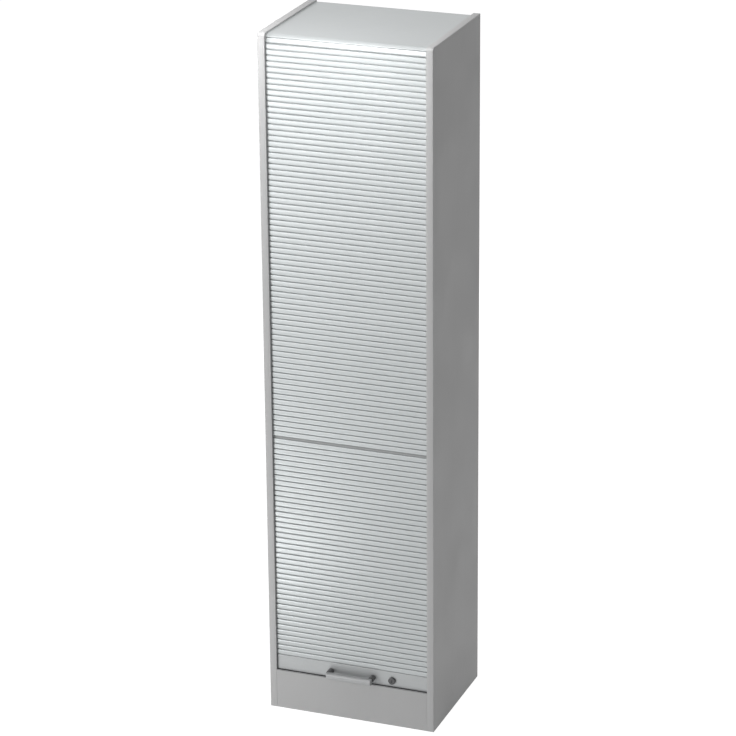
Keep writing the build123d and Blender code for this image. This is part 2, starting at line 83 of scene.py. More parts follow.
lamps = {
    "topFrontLamp": {"place": (-0.15, -0.5, 2.25), "aim": (-0.1, -0.1, 1.85), "size": 0.4, "power": 3.7},
    "topLeftLamp": {"place": (-0.9, -0.8, 2.2), "aim": (-0.1, -0.17, 1.8), "size": 0.4, "power": 3.9},
    "frontLamp": {"place": (-0.5, -2.2, 1.6), "aim": (-0.05, -0.1, 1.8), "size": 0.6, "power": 4.2},
    "overheadLamp": {"place": (0.0, 0.2, 4.2), "aim": (0.0, 0.0, 1.9), "size": 1.2, "power": 8.0},
    "farLamp": {"place": (-2.5, -4.0, 0.8), "aim": (0.0, -0.1, 0.9), "size": 1.2, "power": 41.0},
    "lowLeftLamp": {"place": (-0.95, -1.15, 0.16), "aim": (-0.2, -0.17, 0.3), "size": 0.24, "power": 1.7},
    "floorLamp": {"place": (-0.5, -0.95, 0.12), "aim": (-0.2, -0.17, 0.3), "size": 0.2, "power": 0.6},
    "backLamp": {"place": (-0.5, 3.6, 1.3), "aim": (0.0, 0.2, 0.9), "size": 1.2, "power": 24.0},
}


def placeCamera(settings):
    data = bpy.data.cameras.new("viewCamera")
    data.lens = settings["lens"]
    data.clip_end = settings["reach"]
    camera = bpy.data.objects.new("viewCamera", data)
    scene.collection.objects.link(camera)
    turn = Matrix.Rotation(radians(settings["azimuth"]), 4, "Z")
    tilt = Matrix.Rotation(radians(90 - settings["elevation"]), 4, "X")
    roll = Matrix.Rotation(radians(settings["roll"]), 4, "Z")
    camera.matrix_world = Matrix.Translation(settings["place"]) @ turn @ tilt @ roll
    scene.camera = camera


def addNode(tree, kind, values=None, **settings):
    node = tree.nodes.new(kind)
    for name, value in settings.items():
        setattr(node, name, value)
    for name, value in (values or {}).items():
        node.inputs[name].default_value = value
    return node


def seenByEye(tree):
    # 1 for rays from the camera, from gloss or through glass, 0 for the light that falls on the object.
    path = addNode(tree, "ShaderNodeLightPath")
    eye = addNode(tree, "ShaderNodeMath", operation="ADD", use_clamp=True)
    both = addNode(tree, "ShaderNodeMath", operation="ADD", use_clamp=True)
    tree.links.new(path.outputs["Is Camera Ray"], eye.inputs[0])
    tree.links.new(path.outputs["Is Glossy Ray"], eye.inputs[1])
    tree.links.new(eye.outputs[0], both.inputs[0])
    tree.links.new(path.outputs["Is Transmission Ray"], both.inputs[1])
    return both.outputs[0]


def buildWorld(settings):
    world = bpy.data.worlds.new("studioWorld")
    world.use_nodes = True
    tree = world.node_tree
    tree.nodes.clear()
    level = addNode(tree, "ShaderNodeMapRange", {"To Min": settings["fill"], "To Max": settings["seen"]})
    sky = addNode(tree, "ShaderNodeBackground", {"Color": (1, 1, 1, 1)})
    out = addNode(tree, "ShaderNodeOutputWorld")
    tree.links.new(seenByEye(tree), level.inputs["Value"])
    tree.links.new(level.outputs["Result"], sky.inputs["Strength"])
    tree.links.new(sky.outputs[0], out.inputs["Surface"])
    scene.world = world


def addLamp(name, settings):
    data = bpy.data.lights.new(name, "AREA")
    data.shape = "DISK"
    data.size = settings["size"]
    data.energy = settings["power"]
    lamp = bpy.data.objects.new(name, data)
    scene.collection.objects.link(lamp)
    direction = Vector(settings["aim"]) - Vector(settings["place"])
    turn = direction.to_track_quat("-Z", "Y").to_matrix().to_4x4()
    lamp.matrix_world = Matrix.Translation(settings["place"]) @ turn
    lamp.visible_camera = False


def buildFloor(settings):
    half = settings["floorSize"] / 2
    mesh = bpy.data.meshes.new("floor")
    corners = [(-half, -half, 0), (half, -half, 0), (half, half, 0), (-half, half, 0)]
    mesh.from_pydata(corners, [], [(0, 1, 2, 3)])
    floor = bpy.data.objects.new("floor", mesh)
    scene.collection.objects.link(floor)
    material = bpy.data.materials.new("floorPaper")
    material.use_nodes = True
    tree = material.node_tree
    tree.nodes.clear()
    # The eye sees paper mixed with a white glow. Gloss sees the lit paper with a glow added to it.
    path = addNode(tree, "ShaderNodeLightPath")
    share = addNode(tree, "ShaderNodeMath", operation="MULTIPLY")
    share.inputs[1].default_value = settings["floorGlow"]
    lift = addNode(tree, "ShaderNodeMath", operation="MULTIPLY")
    lift.inputs[1].default_value = settings["floorGloss"]
    paper = addNode(tree, "ShaderNodeBsdfDiffuse", {"Color": settings["floorColour"]})
    glow = addNode(tree, "ShaderNodeEmission", {"Strength": settings["floorGlowStrength"]})
    gloss = addNode(tree, "ShaderNodeEmission")
    mix = addNode(tree, "ShaderNodeMixShader")
    both = addNode(tree, "ShaderNodeAddShader")
    out = addNode(tree, "ShaderNodeOutputMaterial")
    tree.links.new(path.outputs["Is Camera Ray"], share.inputs[0])
    tree.links.new(path.outputs["Is Glossy Ray"], lift.inputs[0])
    tree.links.new(lift.outputs[0], gloss.inputs["Strength"])
    tree.links.new(share.outputs[0], mix.inputs["Fac"])
    tree.links.new(paper.outputs[0], mix.inputs[1])
    tree.links.new(glow.outputs[0], mix.inputs[2])
    tree.links.new(mix.outputs[0], both.inputs[0])
    tree.links.new(gloss.outputs[0], both.inputs[1])
    tree.links.new(both.outputs[0], out.inputs["Surface"])
    mesh.materials.append(material)


placeCamera(viewCamera)
buildWorld(studio)
for lampName, lampSettings in lamps.items():
    addLamp(lampName, lampSettings)
buildFloor(studio)
scene.view_settings.view_transform = "Standard"
print("studio ready")


# Each finish has its plain colour, its shade in the grain and its tone on rubbed edges.
looks = {
    "board": {
        "colour": (0.40, 0.401, 0.402), "shade": (0.42, 0.421, 0.422), "rubbed": (0.46, 0.46, 0.46),
        "grain": 900.0, "stretch": (1.0, 1.0, 1.0), "rough": (0.46, 0.56), "bump": 0.05, "rub": 0.0008,
        "flecks": 0.35,
    },
    # Painted light: a paler copy of the board finish, for the plinth because it faces the lamps.
    "plinth": {
        "colour": (0.455, 0.456, 0.457), "shade": (0.475, 0.476, 0.477), "rubbed": (0.50, 0.50, 0.50),
        "grain": 900.0, "stretch": (1.0, 1.0, 1.0), "rough": (0.46, 0.56), "bump": 0.05, "rub": 0.0008,
        "flecks": 0.35,
    },
    "edge": {
        "colour": (0.48, 0.481, 0.482), "shade": (0.495, 0.496, 0.497), "rubbed": (0.52, 0.52, 0.52),
        "grain": 700.0, "stretch": (1.0, 1.0, 0.04), "rough": (0.40, 0.50), "bump": 0.04, "rub": 0.0006,
    },
    "backboard": {
        "colour": (0.42, 0.42, 0.42), "shade": (0.45, 0.45, 0.45), "rubbed": (0.40, 0.34, 0.27),
        "grain": 600.0, "stretch": (1.0, 1.0, 1.0), "rough": (0.55, 0.66), "bump": 0.08, "rub": 0.0006,
        "flecks": 0.25,
    },
    "cover": {
        "colour": (0.475, 0.496, 0.50), "shade": (0.49, 0.51, 0.515), "rubbed": (0.535, 0.553, 0.557),
        "grain": 500.0, "stretch": (0.05, 1.0, 1.0), "rough": (0.34, 0.40), "bump": 0.02, "rub": 0.0005,
        "metal": 0.5,
    },
    # Slats: "joint" is painted shade, a darker tone that grows deeper into each gap between slats.
    "slats": {
        "colour": (0.395, 0.414, 0.418), "shade": (0.407, 0.426, 0.43), "rubbed": (0.442, 0.459, 0.463),
        "grain": 900.0, "stretch": (0.03, 1.0, 1.0), "rough": (0.33, 0.40), "bump": 0.03, "rub": 0.0003,
        "metal": 0.6, "pitch": 0.015, "shift": 0.35, "joint": (0.36, 0.376, 0.381),
    },
    "strip": {
        "colour": (0.36, 0.369, 0.371), "shade": (0.38, 0.389, 0.391), "rubbed": (0.43, 0.43, 0.43),
        "grain": 1300.0, "stretch": (0.1, 1.0, 1.0), "rough": (0.42, 0.52), "bump": 0.1, "rub": 0.0003,
    },
    "dark_plastic": {
        "colour": (0.072, 0.073, 0.075), "shade": (0.088, 0.089, 0.091), "rubbed": (0.14, 0.14, 0.14),
        "grain": 1600.0, "stretch": (1.0, 1.0, 1.0), "rough": (0.42, 0.56), "bump": 0.25, "rub": 0.0005,
    },
    "seal": {
        "colour": (0.30, 0.303, 0.306), "shade": (0.32, 0.323, 0.326), "rubbed": (0.34, 0.34, 0.34),
        "grain": 1200.0, "stretch": (0.2, 1.0, 1.0), "rough": (0.60, 0.75), "bump": 0.2, "rub": 0.0003,
        "joint": (0.022, 0.022, 0.023),
    },
    "rail": {
        "colour": (0.395, 0.406, 0.41), "shade": (0.425, 0.437, 0.441), "rubbed": (0.50, 0.51, 0.51),
        "grain": 1400.0, "stretch": (0.015, 1.0, 1.0), "rough": (0.36, 0.46), "bump": 0.05, "rub": 0.0004,
        "metal": 0.35,
    },
    "grip": {
        "colour": (0.385, 0.39, 0.395), "shade": (0.405, 0.41, 0.415), "rubbed": (0.46, 0.46, 0.46),
        "grain": 1600.0, "stretch": (0.012, 1.0, 1.0), "rough": (0.40, 0.50), "bump": 0.05, "rub": 0.0005,
        "metal": 0.2,
    },
    "lock": {
        "colour": (0.07, 0.07, 0.072), "shade": (0.095, 0.095, 0.097), "rubbed": (0.30, 0.30, 0.30),
        "grain": 1800.0, "stretch": (1.0, 1.0, 1.0), "rough": (0.28, 0.40), "bump": 0.05, "rub": 0.0003,
        "metal": 0.75,
    },
    "steel": {
        "colour": (0.42, 0.425, 0.43), "shade": (0.50, 0.51, 0.52), "rubbed": (0.62, 0.62, 0.62),
        "grain": 420.0, "stretch": (1.0, 1.0, 1.0), "rough": (0.28, 0.45), "bump": 0.05, "rub": 0.0003,
        "metal": 0.9,
    },
}
fleckLift = 1.12  # how much paler a fleck is than its board
grainHeight = 0.0002


def newGroup(name, inputs, outputs):
    group = bpy.data.node_groups.new(name, "ShaderNodeTree")
    for label, kind, value in inputs:
        socket = group.interface.new_socket(label, in_out="INPUT", socket_type=kind)
        socket.default_value = value
    for label, kind in outputs:
        group.interface.new_socket(label, in_out="OUTPUT", socket_type=kind)
    return group, addNode(group, "NodeGroupInput"), addNode(group, "NodeGroupOutput")


def buildGrain():
    # Fine grain, drawn out along a direction by a small stretch value.
    inputs = [
        ("Scale", "NodeSocketFloat", 500.0),
        ("Stretch", "NodeSocketVector", (1.0, 1.0, 1.0)),
        ("Detail", "NodeSocketFloat", 2.0),
    ]
    group, start, end = newGroup("surfaceGrain", inputs, [("Grain", "NodeSocketFloat")])
    link = group.links.new
    where = addNode(group, "ShaderNodeTexCoord")
    stretched = addNode(group, "ShaderNodeVectorMath", operation="MULTIPLY")
    noise = addNode(group, "ShaderNodeTexNoise", {"Roughness": 0.55})
    spread = addNode(group, "ShaderNodeMapRange", {"From Min": 0.3, "From Max": 0.7})
    link(where.outputs["Object"], stretched.inputs[0])
    link(start.outputs["Stretch"], stretched.inputs[1])
    link(stretched.outputs[0], noise.inputs["Vector"])
    link(start.outputs["Scale"], noise.inputs["Scale"])
    link(start.outputs["Detail"], noise.inputs["Detail"])
    link(noise.outputs["Fac"], spread.inputs["Value"])
    link(spread.outputs["Result"], end.inputs["Grain"])
    return group


def buildMarks():
    # Faint patches that hands and cleaning cloths leave: large soft clouds broken by wiped streaks.
    inputs = [
        ("Patch Scale", "NodeSocketFloat", 6.0),
        ("Streak Scale", "NodeSocketFloat", 60.0),
        ("Streak Share", "NodeSocketFloat", 0.35),
    ]
    group, start, end = newGroup("handMarks", inputs, [("Marks", "NodeSocketFloat")])
    link = group.links.new
    where = addNode(group, "ShaderNodeTexCoord")
    patches = addNode(group, "ShaderNodeTexNoise", {"Detail": 3.0, "Roughness": 0.5, "Distortion": 0.6})
    turned = addNode(group, "ShaderNodeMapping")
    turned.inputs["Rotation"].default_value = (0.3, 0.5, 0.4)
    turned.inputs["Scale"].default_value = (1.0, 1.0, 0.12)
    streaks = addNode(group, "ShaderNodeTexNoise", {"Detail": 4.0, "Roughness": 0.6})
    mix = addNode(group, "ShaderNodeMix", data_type="FLOAT")
    spread = addNode(group, "ShaderNodeMapRange", {"From Min": 0.32, "From Max": 0.68})
    link(where.outputs["Object"], patches.inputs["Vector"])
    link(where.outputs["Object"], turned.inputs["Vector"])
    link(turned.outputs["Vector"], streaks.inputs["Vector"])
    link(start.outputs["Patch Scale"], patches.inputs["Scale"])
    link(start.outputs["Streak Scale"], streaks.inputs["Scale"])
    link(start.outputs["Streak Share"], mix.inputs["Factor"])
    link(patches.outputs["Fac"], mix.inputs["A"])
    link(streaks.outputs["Fac"], mix.inputs["B"])
    link(mix.outputs["Result"], spread.inputs["Value"])
    link(spread.outputs["Result"], end.inputs["Marks"])
    return group


def buildRub():
    # 1 on rounded-off edges and corners, 0 on flats, broken up a little.
    inputs = [("Radius", "NodeSocketFloat", 0.0005), ("Break Scale", "NodeSocketFloat", 150.0)]
    group, start, end = newGroup("edgeRub", inputs, [("Rub", "NodeSocketFloat")])
    link = group.links.new
    where = addNode(group, "ShaderNodeTexCoord")
    soft = addNode(group, "ShaderNodeBevel", samples=4)
    shape = addNode(group, "ShaderNodeNewGeometry")
    match = addNode(group, "ShaderNodeVectorMath", operation="DOT_PRODUCT")
    edge = addNode(group, "ShaderNodeMapRange", {"From Min": 0.995, "From Max": 0.86})
    noise = addNode(group, "ShaderNodeTexNoise", {"Detail": 3.0})
    worn = addNode(group, "ShaderNodeMapRange", {"From Min": 0.35, "From Max": 0.6})
    both = addNode(group, "ShaderNodeMath", operation="MULTIPLY")
    link(start.outputs["Radius"], soft.inputs["Radius"])
    link(soft.outputs["Normal"], match.inputs[0])
    link(shape.outputs["Normal"], match.inputs[1])
    link(match.outputs["Value"], edge.inputs["Value"])
    link(where.outputs["Object"], noise.inputs["Vector"])
    link(start.outputs["Break Scale"], noise.inputs["Scale"])
    link(noise.outputs["Fac"], worn.inputs["Value"])
    link(edge.outputs["Result"], both.inputs[0])
    link(worn.outputs["Result"], both.inputs[1])
    link(both.outputs[0], end.inputs["Rub"])
    return group


def buildFlecks():
    # Sparse darker and lighter flecks of a printed decor paper.
    inputs = [("Scale", "NodeSocketFloat", 420.0), ("Share", "NodeSocketFloat", 0.3)]
    group, start, end = newGroup("decorFlecks", inputs, [("Flecks", "NodeSocketFloat")])
    link = group.links.new
    where = addNode(group, "ShaderNodeTexCoord")
    cells = addNode(group, "ShaderNodeTexVoronoi")
    dots = addNode(group, "ShaderNodeMapRange", {"From Min": 0.28, "From Max": 0.16})
    pick = addNode(group, "ShaderNodeSeparateColor")
    some = addNode(group, "ShaderNodeMath", operation="LESS_THAN")
    both = addNode(group, "ShaderNodeMath", operation="MULTIPLY")
    link(where.outputs["Object"], cells.inputs["Vector"])
    link(start.outputs["Scale"], cells.inputs["Scale"])
    link(cells.outputs["Distance"], dots.inputs["Value"])
    link(cells.outputs["Color"], pick.inputs["Color"])
    link(pick.outputs["Red"], some.inputs[0])
    link(start.outputs["Share"], some.inputs[1])
    link(dots.outputs["Result"], both.inputs[0])
    link(some.outputs[0], both.inputs[1])
    link(both.outputs[0], end.inputs["Flecks"])
    return group


effects = {"grain": buildGrain(), "marks": buildMarks(), "rub": buildRub(), "flecks": buildFlecks()}


def addEffect(tree, name, **values):
    node = addNode(tree, "ShaderNodeGroup")
    node.node_tree = effects[name]
    for label, value in values.items():
        node.inputs[label.replace("_", " ")].default_value = value
    return node


def blendColours(tree, factor, first, second):
    # first and second are colours or the outputs of nodes.
    mix = addNode(tree, "ShaderNodeMix", data_type="RGBA")
    tree.links.new(factor, mix.inputs["Factor"])
    for side, value in (("A", first), ("B", second)):
        if isinstance(value, tuple):
            mix.inputs[side].default_value = (*value, 1.0)
        else:
            tree.links.new(value, mix.inputs[side])
    return mix.outputs["Result"]


def newMaterial(name):
    material = bpy.data.materials.new(name)
    material.use_nodes = True
    return material, material.node_tree, material.node_tree.nodes["Principled BSDF"]


def makeFinish(name, look):
    material, tree, shader = newMaterial(name)
    link = tree.links.new
    shader.inputs["Metallic"].default_value = look.get("metal", 0.0)
    grain = addEffect(tree, "grain", Scale=look["grain"], Stretch=look["stretch"])
    marks = addEffect(tree, "marks")
    rub = addEffect(tree, "rub", Radius=look["rub"])
    colour = blendColours(tree, grain.outputs["Grain"], look["colour"], look["shade"])
    if "flecks" in look:
        flecks = addEffect(tree, "flecks", Share=look["flecks"])
        paler = tuple(min(1.0, value * fleckLift) for value in look["colour"])
        colour = blendColours(tree, flecks.outputs["Flecks"], colour, paler)
    if "pitch" in look:
        colour = addSlatShift(tree, colour, look)
    colour = blendColours(tree, rub.outputs["Rub"], colour, look["rubbed"])
    # joint: on the slats, painted shade that darkens deeper in the gaps; on the seal, its dark lip.
    if "joint" in look:
        depth = addNode(tree, "ShaderNodeAttribute", attribute_name="jointShadeAndLip")
        colour = blendColours(tree, depth.outputs["Fac"], colour, look["joint"])
    link(colour, shader.inputs["Base Color"])
    rough = addNode(tree, "ShaderNodeMapRange", {"To Min": look["rough"][0], "To Max": look["rough"][1]})
    link(marks.outputs["Marks"], rough.inputs["Value"])
    link(rough.outputs["Result"], shader.inputs["Roughness"])
    bump = addNode(tree, "ShaderNodeBump", {"Strength": look["bump"], "Distance": grainHeight})
    link(grain.outputs["Grain"], bump.inputs["Height"])
    link(bump.outputs["Normal"], shader.inputs["Normal"])
    return material


def addSlatShift(tree, colour, look):
    # Each slat is a touch lighter or darker than its neighbours, as cut lengths from one mill are.
    where = addNode(tree, "ShaderNodeTexCoord")
    parts = addNode(tree, "ShaderNodeSeparateXYZ")
    row = addNode(tree, "ShaderNodeMath", operation="DIVIDE")
    row.inputs[1].default_value = look["pitch"]
    whole = addNode(tree, "ShaderNodeMath", operation="FLOOR")
    draw = addNode(tree, "ShaderNodeTexWhiteNoise", noise_dimensions="1D")
    small = addNode(tree, "ShaderNodeMath", operation="MULTIPLY")
    small.inputs[1].default_value = look["shift"]
    tree.links.new(where.outputs["Object"], parts.inputs[0])
    tree.links.new(parts.outputs["Z"], row.inputs[0])
    tree.links.new(row.outputs[0], whole.inputs[0])
    tree.links.new(whole.outputs[0], draw.inputs["W"])
    tree.links.new(draw.outputs["Value"], small.inputs[0])
    return blendColours(tree, small.outputs[0], colour, look["rubbed"])


weave = {
    "threads": 1400.0,
    "dark": (0.045, 0.046, 0.048),
    "light": (0.085, 0.086, 0.09),
    "lint": 0.3,
    "lintLift": 1.4,
    "lintScale": 2600.0,
    "rough": 0.9,
    "sheen": 0.15,
    "bump": 0.6,
    "threadHeight": 0.0003,
}


def makeCanvas(name):
    # Woven backing cloth: warp along the height, weft across, one thread over and one under.
    material, tree, shader = newMaterial(name)
    link = tree.links.new
    where = addNode(tree, "ShaderNodeTexCoord")
    parts = addNode(tree, "ShaderNodeSeparateXYZ")
    link(where.outputs["Object"], parts.inputs[0])
    waves = []
    for axis in ("X", "Z"):
        count = addNode(tree, "ShaderNodeMath", operation="MULTIPLY")
        count.inputs[1].default_value = weave["threads"] * pi
        wave = addNode(tree, "ShaderNodeMath", operation="SINE")
        link(parts.outputs[axis], count.inputs[0])
        link(count.outputs[0], wave.inputs[0])
        waves.append(wave.outputs[0])
    crossing = addNode(tree, "ShaderNodeMath", operation="MULTIPLY")
    link(waves[0], crossing.inputs[0])
    link(waves[1], crossing.inputs[1])
    height = addNode(tree, "ShaderNodeMapRange", {"From Min": -1.0, "From Max": 1.0})
    link(crossing.outputs[0], height.inputs["Value"])
    fluff = addEffect(tree, "grain", Scale=weave["lintScale"])
    threads = blendColours(tree, height.outputs["Result"], weave["dark"], weave["light"])
    grey = tuple(value * weave["lintLift"] for value in weave["light"])
    lint = addNode(tree, "ShaderNodeMath", operation="MULTIPLY")
    lint.inputs[1].default_value = weave["lint"]
    link(fluff.outputs["Grain"], lint.inputs[0])
    link(blendColours(tree, lint.outputs[0], threads, grey), shader.inputs["Base Color"])
    shader.inputs["Roughness"].default_value = weave["rough"]
    shader.inputs["Sheen Weight"].default_value = weave["sheen"]
    bump = addNode(tree, "ShaderNodeBump", {"Strength": weave["bump"], "Distance": weave["threadHeight"]})
    link(height.outputs["Result"], bump.inputs["Height"])
    link(bump.outputs["Normal"], shader.inputs["Normal"])
    return material


finishes = {name: makeFinish(name, look) for name, look in looks.items()}
finishes["backing"] = makeCanvas("backing")
for part in frame["record"]["subparts"]:
    node = nodes[part["node"]]
    node.data.materials.clear()
    node.data.materials.append(finishes[part["material_slot"]])
nodes["plinth_panel"].data.materials[0] = finishes["plinth"]  # painted light: the same board, made paler because the plinth faces the lamps
print("finishes ready")


def newObject(name, mesh):
    piece = bpy.data.objects.new(name, mesh)
    scene.collection.objects.link(piece)
    return piece


def fitPiece(piece, body, slotName, *replaced):
    # Puts a finished piece on its body in place of CAD nodes.
    if not piece.data.materials:
        piece.data.materials.append(finishes[slotName])
    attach(piece, body)
    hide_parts(*replaced)


def roundedCorner(centre, radius, start, end, steps):
    # Points of an arc between two angles in degrees.
    points = []
    for step in range(steps + 1):
        angle = radians(start + (end - start) * step / steps)
        points.append((centre[0] + radius * cos(angle), centre[1] + radius * sin(angle)))
    return points


sharpAngles = {"section": 28, "turned": 35, "band": 35}


def closeShape(shape, mesh, sharpAngle):
    # Faces outwards, smooth but for the edges that turn more than the angle.
    bmesh.ops.recalc_face_normals(shape, faces=shape.faces)
    shape.to_mesh(mesh)
    shape.free()
    mesh.shade_smooth()
    mesh.set_sharp_from_angle(angle=radians(sharpAngle))
    return mesh


def prism(name, outline, halfLength):
    # A section in (up, out) drawn along X, closed at both ends, with out pointing to the front.
    mesh = bpy.data.meshes.new(name)
    count = len(outline)
    points = []
    for x in (-halfLength, halfLength):
        points += [(x, -out, up) for up, out in outline]
    faces = [tuple(range(count)), tuple(range(2 * count - 1, count - 1, -1))]
    for index in range(count):
        after = (index + 1) % count
        faces.append((index, index + count, after + count, after))
    mesh.from_pydata(points, [], faces)
    shape = bmesh.new()
    shape.from_mesh(mesh)
    return closeShape(shape, mesh, sharpAngles["section"])


def storeDepth(mesh, depthAt):
    # Keeps a share from 0 to 1 for each point's y, which picks the joint's tone in the finish: painted
    # shade deeper in the slat gaps, and the seal's own dark lip.
    depth = mesh.attributes.new("jointShadeAndLip", "FLOAT", "POINT")
    for point, value in zip(mesh.vertices, depth.data):
        value.value = depthAt(point.co.y)


def turned(name, profile, x, z, steps):
    # A profile of (radius, y) points turned round an axis that runs along Y.
    shape = bmesh.new()
    rings = []
    for radius, y in profile:
        if radius < 1e-6:
            rings.append([shape.verts.new((x, y, z))])
            continue
        ring = []
        for step in range(steps):
            angle = 2 * pi * step / steps
            ring.append(shape.verts.new((x + radius * cos(angle), y, z + radius * sin(angle))))
        rings.append(ring)
    for first, second in zip(rings, rings[1:]):
        for step in range(steps):
            after = (step + 1) % steps
            near = [first[step % len(first)], first[after % len(first)]]
            far = [second[after % len(second)], second[step % len(second)]]
            unique = list(dict.fromkeys(near + far))
            if len(unique) > 2:
                shape.faces.new(unique)
    return closeShape(shape, bpy.data.meshes.new(name), sharpAngles["turned"])


def joinMeshes(name, meshes):
    shape = bmesh.new()
    for mesh in meshes:
        shape.from_mesh(mesh)
    joined = bpy.data.meshes.new(name)
    shape.to_mesh(joined)
    shape.free()
    return joined


faceWeight = 80  # how strongly large flat faces hold the shading of their corners


def roundEdges(piece, width, segments=2, angle=35):
    bevel = piece.modifiers.new("roundEdges", "BEVEL")
    bevel.width = width
    bevel.segments = segments
    bevel.limit_method = "ANGLE"
    bevel.loop_slide = False
    bevel.angle_limit = radians(angle)
    flatten = piece.modifiers.new("flatFaces", "WEIGHTED_NORMAL")
    flatten.weight = faceWeight
    flatten.keep_sharp = True


# Heights start at the floor, and insets at the front edges of the panels.
curtain = {
    "pitch": 0.015,
    "slatThickness": 0.005,
    "slatHalfLength": 0.223,
    "slatBack": front + 0.0125,
    "frontGap": 0.0022,
    "gapDepth": 0.0032,
    "backGap": 0.0003,
    "shoulder": (0.0014, 0.0009),
    "shoulderSteps": 3,
    "crown": 0.00015,
    "lowerStart": 0.155,
    "lowerCount": 42,
    "stripHeight": 0.006,
    "upperCount": 71,
    "overTopCount": 8,
    "noseInset": 0.030,
    "noseRadius": 0.0175,
    "noseHeight": 1.856,
    "stripThickness": 0.003,
    "stripRib": 0.0004,
    "stripGap": 0.0002,
    "stripGroove": (0.4, 0.3),
    "backingHalfWidth": 0.212,
    "backingThickness": 0.0006,
    "rolledAway": 0.0094,
}


def slatSection(settings):
    # One slat, centred on its pitch: a flat back, a narrow joint behind a wider one, rounded shoulders.
    back = settings["pitch"] / 2 - settings["backGap"] / 2
    face = settings["pitch"] / 2 - settings["frontGap"] / 2
    thick = settings["slatThickness"]
    step = thick - settings["gapDepth"]
    edge = thick - settings["crown"]
    along, deep = settings["shoulder"]
    half = [(back, 0.0), (back, step), (face, step)]
    for up, out in roundedCorner((0.0, 0.0), 1.0, 0, 84, settings["shoulderSteps"]):
        half.append((face - along + along * up, edge - deep + deep * out))
    half.append((face * 0.5, thick - settings["crown"] * 0.25))
    return half + [(0.0, thick)] + [(-up, out) for up, out in reversed(half)]


def buildSlatTree():
    # Every edge of the joint line carries one slat, turned so that it faces away from the cabinet.
    tree = bpy.data.node_groups.new("slatRun", "GeometryNodeTree")
    sockets = tree.interface
    sockets.new_socket("Joint Line", in_out="INPUT", socket_type="NodeSocketGeometry")
    sockets.new_socket("Slat", in_out="INPUT", socket_type="NodeSocketObject")
    sockets.new_socket("Finish", in_out="INPUT", socket_type="NodeSocketMaterial")
    sockets.new_socket("Slats", in_out="OUTPUT", socket_type="NodeSocketGeometry")
    start = addNode(tree, "NodeGroupInput")
    ends = addNode(tree, "GeometryNodeInputMeshEdgeVertices")
    along = addNode(tree, "ShaderNodeVectorMath", operation="SUBTRACT")
    turn = addNode(tree, "FunctionNodeAxesToRotation", primary_axis="Z", secondary_axis="X")
    turn.inputs["Secondary Axis"].default_value = (1, 0, 0)
    keep = addNode(tree, "GeometryNodeCaptureAttribute", domain="EDGE")
    keep.capture_items.new("ROTATION", "Turn")
    middles = addNode(tree, "GeometryNodeMeshToPoints", mode="EDGES")
    slat = addNode(tree, "GeometryNodeObjectInfo", transform_space="ORIGINAL")
    place = addNode(tree, "GeometryNodeInstanceOnPoints")
    real = addNode(tree, "GeometryNodeRealizeInstances")
    finish = addNode(tree, "GeometryNodeSetMaterial")
    end = addNode(tree, "NodeGroupOutput")
    link = tree.links.new
    link(ends.outputs["Position 2"], along.inputs[0])
    link(ends.outputs["Position 1"], along.inputs[1])
    link(along.outputs[0], turn.inputs["Primary Axis"])
    link(start.outputs["Joint Line"], keep.inputs["Geometry"])
    link(turn.outputs["Rotation"], keep.inputs["Turn"])
    link(keep.outputs["Geometry"], middles.inputs["Mesh"])
    link(middles.outputs["Points"], place.inputs["Points"])
    link(start.outputs["Slat"], slat.inputs["Object"])
    link(slat.outputs["Geometry"], place.inputs["Instance"])
    link(keep.outputs["Turn"], place.inputs["Rotation"])
    link(place.outputs["Instances"], real.inputs["Geometry"])
    link(real.outputs["Geometry"], finish.inputs["Geometry"])
    link(start.outputs["Finish"], finish.inputs["Material"])
    link(finish.outputs["Geometry"], end.inputs["Slats"])
    return tree


def grow(name, mesh, tree, values):
    # Runs a Geometry Nodes tree on a mesh and keeps the plain result.
    piece = newObject(name, mesh)
    modifier = piece.modifiers.new("grow", "NODES")
    modifier.node_group = tree
    names = {item.name: item.identifier for item in tree.interface.items_tree if item.in_out == "INPUT"}
    for label, value in values.items():
        modifier[names[label]] = value
    bpy.context.view_layer.update()
    grown = bpy.data.meshes.new_from_object(piece.evaluated_get(bpy.context.evaluated_depsgraph_get()))
    piece.modifiers.clear()
    piece.data = grown
    grown.name = name
    return piece


def jointLine(name, joints):
    mesh = bpy.data.meshes.new(name)
    mesh.from_pydata(joints, [(i, i + 1) for i in range(len(joints) - 1)], [])
    return mesh


def straightJoints(firstHeight, count):
    return [(0.0, curtain["slatBack"], firstHeight + i * curtain["pitch"]) for i in range(count + 1)]


def pathPoint(run):
    # Inset and height of the curtain's back after a run round the nose and along the top.
    radius = curtain["noseRadius"]
    if run <= radius * pi / 2:
        angle = run / radius
        return curtain["noseInset"] - radius * cos(angle), curtain["noseHeight"] + radius * sin(angle)
    return curtain["noseInset"] + run - radius * pi / 2, curtain["noseHeight"] + radius


def overTopJoints():
    # Joints whose straight distance is one pitch, as rigid slats have it on a bend.
    run = 0.0
    joints = [pathPoint(run)]
    for _ in range(curtain["overTopCount"]):
        low, high = run + curtain["pitch"], run + 1.3 * curtain["pitch"]
        for _ in range(40):
            middle = (low + high) / 2
            inset, height = pathPoint(middle)
            if hypot(inset - joints[-1][0], height - joints[-1][1]) < curtain["pitch"]:
                low = middle
            else:
                high = middle
        run = high
        joints.append(pathPoint(run))
    return [(0.0, front + inset, height) for inset, height in joints]


